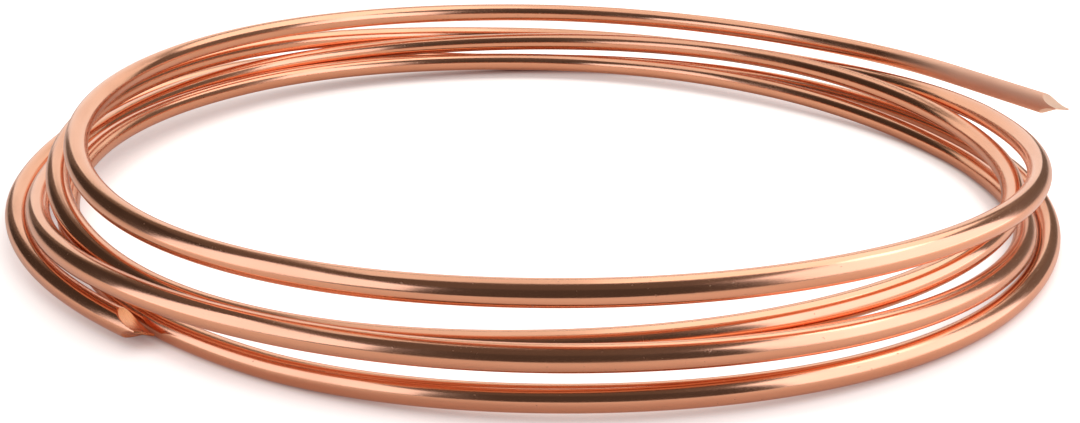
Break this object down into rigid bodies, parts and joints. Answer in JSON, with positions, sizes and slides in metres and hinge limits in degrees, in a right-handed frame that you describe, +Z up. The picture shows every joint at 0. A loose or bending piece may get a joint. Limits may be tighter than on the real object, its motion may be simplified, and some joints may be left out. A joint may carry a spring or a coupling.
{
  "type": "copper tube coil",
  "caption": "Loose coil of bare soft copper tube in open turns, lying flat, with both free ends cropped to a closed wedge.",
  "frame": {"origin": "on the floor, in the middle of the coil's outline", "axes": "+Z up out of the floor, +X towards the right of the coil where the high free end is, +Y towards its back"},
  "size_m": [0.3036, 0.284, 0.0306],
  "materials": {
    "copper": "bare drawn copper, bright, with light handling marks"
  },
  "bodies": {
    "root": {"copper_tube": "copper"}
  },
  "joints": []
}
